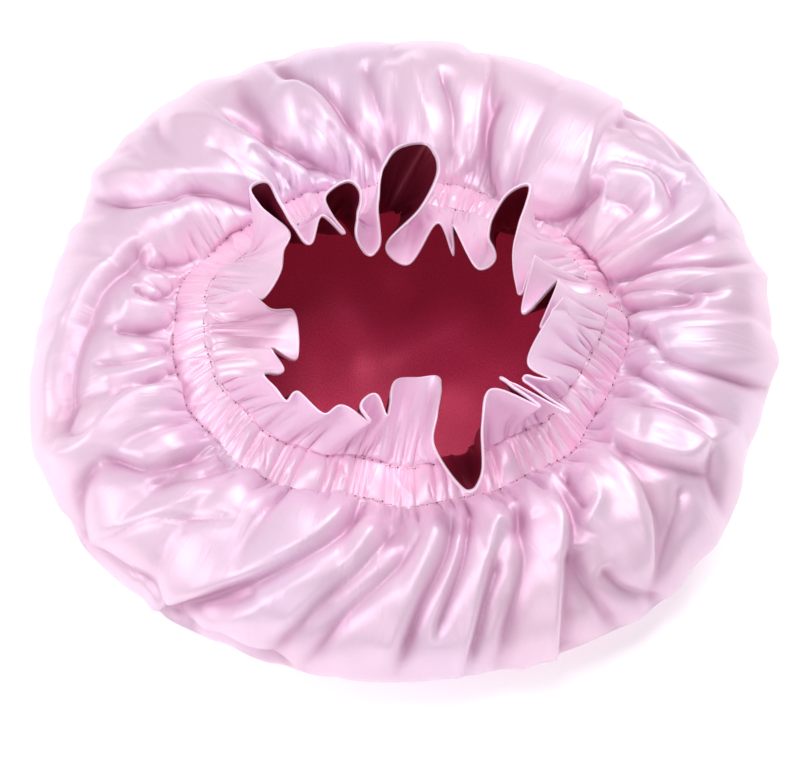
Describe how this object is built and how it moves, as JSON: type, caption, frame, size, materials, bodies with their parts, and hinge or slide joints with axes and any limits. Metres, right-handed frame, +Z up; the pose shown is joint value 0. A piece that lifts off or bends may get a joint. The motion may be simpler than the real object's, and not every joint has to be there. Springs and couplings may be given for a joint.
{
  "type": "sleep bonnet",
  "caption": "Reversible satin sleep bonnet lying crown down: puffed gathered crown, elastic casing between two stitch rows, fluted ruffle round an open mouth, contrasting lining",
  "frame": {"origin": "centre of the bounding box in plan, on the surface that the crown rests on", "axes": "+Z up out of the mouth, +X along the longer side of the bonnet as it lies, +Y away from the camera of the picture"},
  "size_m": [0.3648, 0.3572, 0.1132],
  "materials": {
    "pink_satin": "pale pink satin, smooth and glossy, woven",
    "burgundy_satin": "burgundy satin, smooth and glossy, woven",
    "elastic": "plain white woven elastic"
  },
  "bodies": {
    "root": {"crown_shell": "pink_satin", "crown_lining": "burgundy_satin", "casing_shell": "pink_satin", "casing_lining": "burgundy_satin", "elastic_band": "elastic", "ruffle_shell": "pink_satin", "ruffle_lining": "burgundy_satin"}
  },
  "joints": []
}
